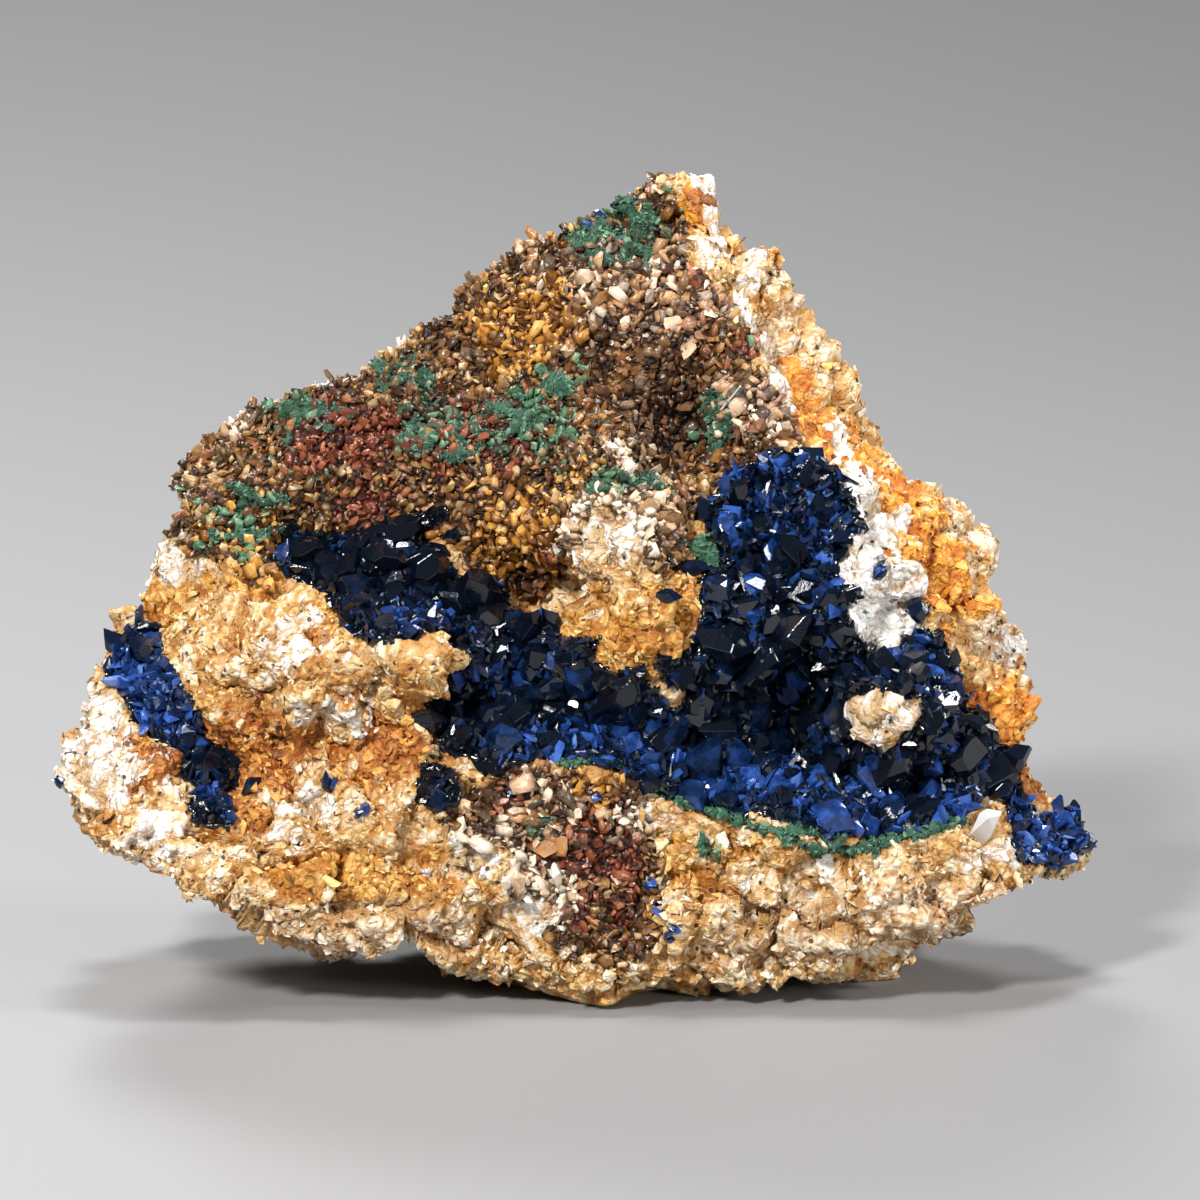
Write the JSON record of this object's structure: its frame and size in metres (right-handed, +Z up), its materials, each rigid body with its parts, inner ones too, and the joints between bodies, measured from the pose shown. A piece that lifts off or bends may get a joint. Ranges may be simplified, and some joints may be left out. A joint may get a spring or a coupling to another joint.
{
  "type": "azurite mineral specimen",
  "caption": "Lump of drusy iron-stained rock with a groove of deep blue azurite crystals and green malachite crusts, standing on its broken flat base.",
  "frame": {"origin": "centre of the bounding box on the surface that the specimen rests on", "axes": "+Z up, the crystal face looks along -Y and leans back, +X runs along the specimen's length to the right as its face is seen"},
  "size_m": [0.1084, 0.049, 0.0824],
  "materials": {
    "stone": "rough, grainy stone",
    "azurite": "glossy dark blue crystal faces",
    "malachite": "dull, velvety green crust",
    "quartz": "cloudy, slightly frosted"
  },
  "bodies": {
    "root": {"matrix_rock": "stone", "azurite_vein": "azurite", "azurite_left_pocket": "azurite", "azurite_pod_upper": "azurite", "azurite_pod_lower": "azurite", "azurite_satellite": "azurite", "malachite_upper_patch": "malachite", "malachite_left_patch": "malachite", "malachite_edge_tuft": "malachite", "malachite_crest": "malachite", "malachite_ring": "malachite", "malachite_rim": "malachite", "azurite_crystal_flat": "azurite", "azurite_crystal_block": "azurite", "azurite_crystal_high": "azurite", "azurite_crystal_mid": "azurite", "azurite_crystal_rib": "azurite", "quartz_crystal": "quartz"}
  },
  "joints": []
}
